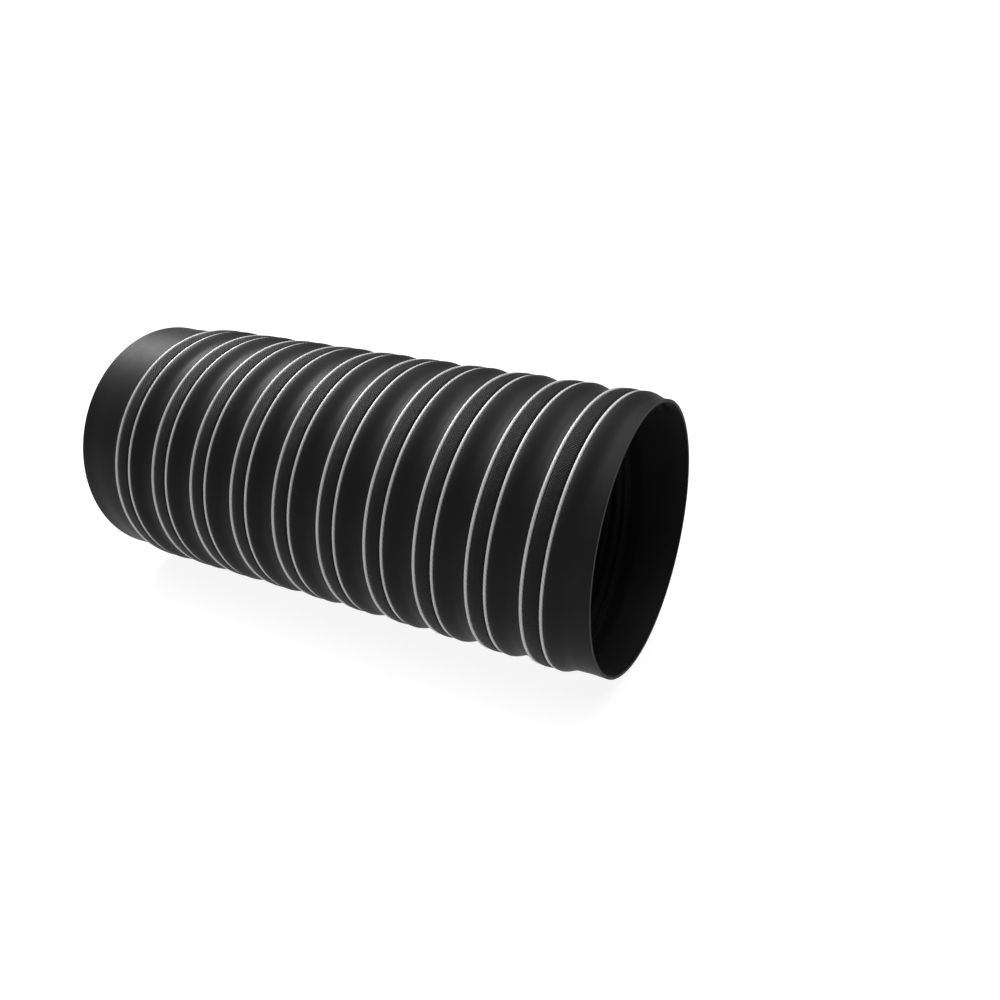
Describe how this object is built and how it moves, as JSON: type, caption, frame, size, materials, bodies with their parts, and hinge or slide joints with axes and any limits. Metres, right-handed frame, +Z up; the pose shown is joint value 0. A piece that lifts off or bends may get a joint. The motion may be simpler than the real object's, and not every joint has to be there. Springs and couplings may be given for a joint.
{
  "type": "flexible air duct",
  "caption": "Short length of two-ply fabric air duct with a wire helix, paired white binding cords and plain soft cuffs.",
  "frame": {"origin": "centre of the box the duct fills, at the surface it lies on", "axes": "+X along the duct towards its mouth, +Z up"},
  "size_m": [0.233, 0.1068, 0.1068],
  "materials": {
    "outer_ply": "matte black coated glass fabric, outer face",
    "inner_ply": "matte black coated glass fabric, bore face",
    "binding_cord": "twisted off-white glass-fibre cord",
    "spring_wire": "drawn spring steel wire"
  },
  "bodies": {
    "coil_1": {"coil_1_outer_ply": "outer_ply", "coil_1_inner_ply": "inner_ply", "coil_1_wire": "spring_wire", "coil_1_rear_cord": "binding_cord", "coil_1_front_cord": "binding_cord", "rear_cuff": "outer_ply"},
    "bend_1": {"fold_1": "outer_ply"},
    "coil_2": {"coil_2_outer_ply": "outer_ply", "coil_2_inner_ply": "inner_ply", "coil_2_wire": "spring_wire", "coil_2_rear_cord": "binding_cord", "coil_2_front_cord": "binding_cord"},
    "bend_2": {"fold_2": "outer_ply"},
    "coil_3": {"coil_3_outer_ply": "outer_ply", "coil_3_inner_ply": "inner_ply", "coil_3_wire": "spring_wire", "coil_3_rear_cord": "binding_cord", "coil_3_front_cord": "binding_cord", "fold_3": "outer_ply"},
    "coil_4": {"coil_4_outer_ply": "outer_ply", "coil_4_inner_ply": "inner_ply", "coil_4_wire": "spring_wire", "coil_4_rear_cord": "binding_cord", "coil_4_front_cord": "binding_cord"},
    "bend_4": {"fold_4": "outer_ply"},
    "coil_5": {"coil_5_outer_ply": "outer_ply", "coil_5_inner_ply": "inner_ply", "coil_5_wire": "spring_wire", "coil_5_rear_cord": "binding_cord", "coil_5_front_cord": "binding_cord", "fold_5": "outer_ply"},
    "coil_6": {"coil_6_outer_ply": "outer_ply", "coil_6_inner_ply": "inner_ply", "coil_6_wire": "spring_wire", "coil_6_rear_cord": "binding_cord", "coil_6_front_cord": "binding_cord"},
    "bend_6": {"fold_6": "outer_ply"},
    "coil_7": {"coil_7_outer_ply": "outer_ply", "coil_7_inner_ply": "inner_ply", "coil_7_wire": "spring_wire", "coil_7_rear_cord": "binding_cord", "coil_7_front_cord": "binding_cord"},
    "bend_7": {"fold_7": "outer_ply"},
    "coil_8": {"coil_8_outer_ply": "outer_ply", "coil_8_inner_ply": "inner_ply", "coil_8_wire": "spring_wire", "coil_8_rear_cord": "binding_cord", "coil_8_front_cord": "binding_cord", "fold_8": "outer_ply", "front_cuff": "outer_ply"}
  },
  "joints": [
    {"name": "lift_1", "type": "hinge", "parent": "coil_1", "child": "bend_1", "pos_m": [-0.07838, 0, 0.0534], "axis": [0, -0.9994, -0.0349], "range_deg": [-8, 8], "stiffness_Nm_per_rad": 4, "deforming": ["fold_1"]},
    {"name": "swing_1", "type": "hinge", "parent": "bend_1", "child": "coil_2", "pos_m": [-0.07838, 0, 0.0534], "axis": [0, -0.0349, 0.9994], "range_deg": [-8, 8], "stiffness_Nm_per_rad": 4, "deforming": ["fold_1"]},
    {"name": "lift_2", "type": "hinge", "parent": "coil_2", "child": "bend_2", "pos_m": [-0.05225, 0, 0.0534], "axis": [0, -0.9994, -0.0349], "range_deg": [-8, 8], "stiffness_Nm_per_rad": 4, "deforming": ["fold_2"]},
    {"name": "swing_2", "type": "hinge", "parent": "bend_2", "child": "coil_3", "pos_m": [-0.05225, 0, 0.0534], "axis": [0, -0.0349, 0.9994], "range_deg": [-8, 8], "stiffness_Nm_per_rad": 4, "deforming": ["fold_2"]},
    {"name": "compress_3", "type": "slide", "parent": "coil_3", "child": "coil_4", "axis": [-1, 0, 0], "range_m": [0, 0.0075], "stiffness_N_per_m": 1500, "deforming": ["fold_3"]},
    {"name": "lift_4", "type": "hinge", "parent": "coil_4", "child": "bend_4", "pos_m": [0, 0, 0.0534], "axis": [0, -0.9994, -0.0349], "range_deg": [-8, 8], "stiffness_Nm_per_rad": 4, "deforming": ["fold_4"]},
    {"name": "swing_4", "type": "hinge", "parent": "bend_4", "child": "coil_5", "pos_m": [0, 0, 0.0534], "axis": [0, -0.0349, 0.9994], "range_deg": [-8, 8], "stiffness_Nm_per_rad": 4, "deforming": ["fold_4"]},
    {"name": "compress_5", "type": "slide", "parent": "coil_5", "child": "coil_6", "axis": [-1, 0, 0], "range_m": [0, 0.0075], "stiffness_N_per_m": 1500, "deforming": ["fold_5"]},
    {"name": "lift_6", "type": "hinge", "parent": "coil_6", "child": "bend_6", "pos_m": [0.05225, 0, 0.0534], "axis": [0, -0.9994, -0.0349], "range_deg": [-8, 8], "stiffness_Nm_per_rad": 4, "deforming": ["fold_6"]},
    {"name": "swing_6", "type": "hinge", "parent": "bend_6", "child": "coil_7", "pos_m": [0.05225, 0, 0.0534], "axis": [0, -0.0349, 0.9994], "range_deg": [-8, 8], "stiffness_Nm_per_rad": 4, "deforming": ["fold_6"]},
    {"name": "lift_7", "type": "hinge", "parent": "coil_7", "child": "bend_7", "pos_m": [0.07838, 0, 0.0534], "axis": [0, -0.9994, -0.0349], "range_deg": [-8, 8], "stiffness_Nm_per_rad": 4, "deforming": ["fold_7"]},
    {"name": "swing_7", "type": "hinge", "parent": "bend_7", "child": "coil_8", "pos_m": [0.07838, 0, 0.0534], "axis": [0, -0.0349, 0.9994], "range_deg": [-8, 8], "stiffness_Nm_per_rad": 4, "deforming": ["fold_7"]}
  ],
  "couplings": [
    {"joint": "lift_2", "follows": "lift_1", "ratio": 1},
    {"joint": "swing_2", "follows": "swing_1", "ratio": 1},
    {"joint": "lift_4", "follows": "lift_1", "ratio": 1},
    {"joint": "swing_4", "follows": "swing_1", "ratio": 1},
    {"joint": "compress_5", "follows": "compress_3", "ratio": 1},
    {"joint": "lift_6", "follows": "lift_1", "ratio": 1},
    {"joint": "swing_6", "follows": "swing_1", "ratio": 1},
    {"joint": "lift_7", "follows": "lift_1", "ratio": 1},
    {"joint": "swing_7", "follows": "swing_1", "ratio": 1}
  ]
}
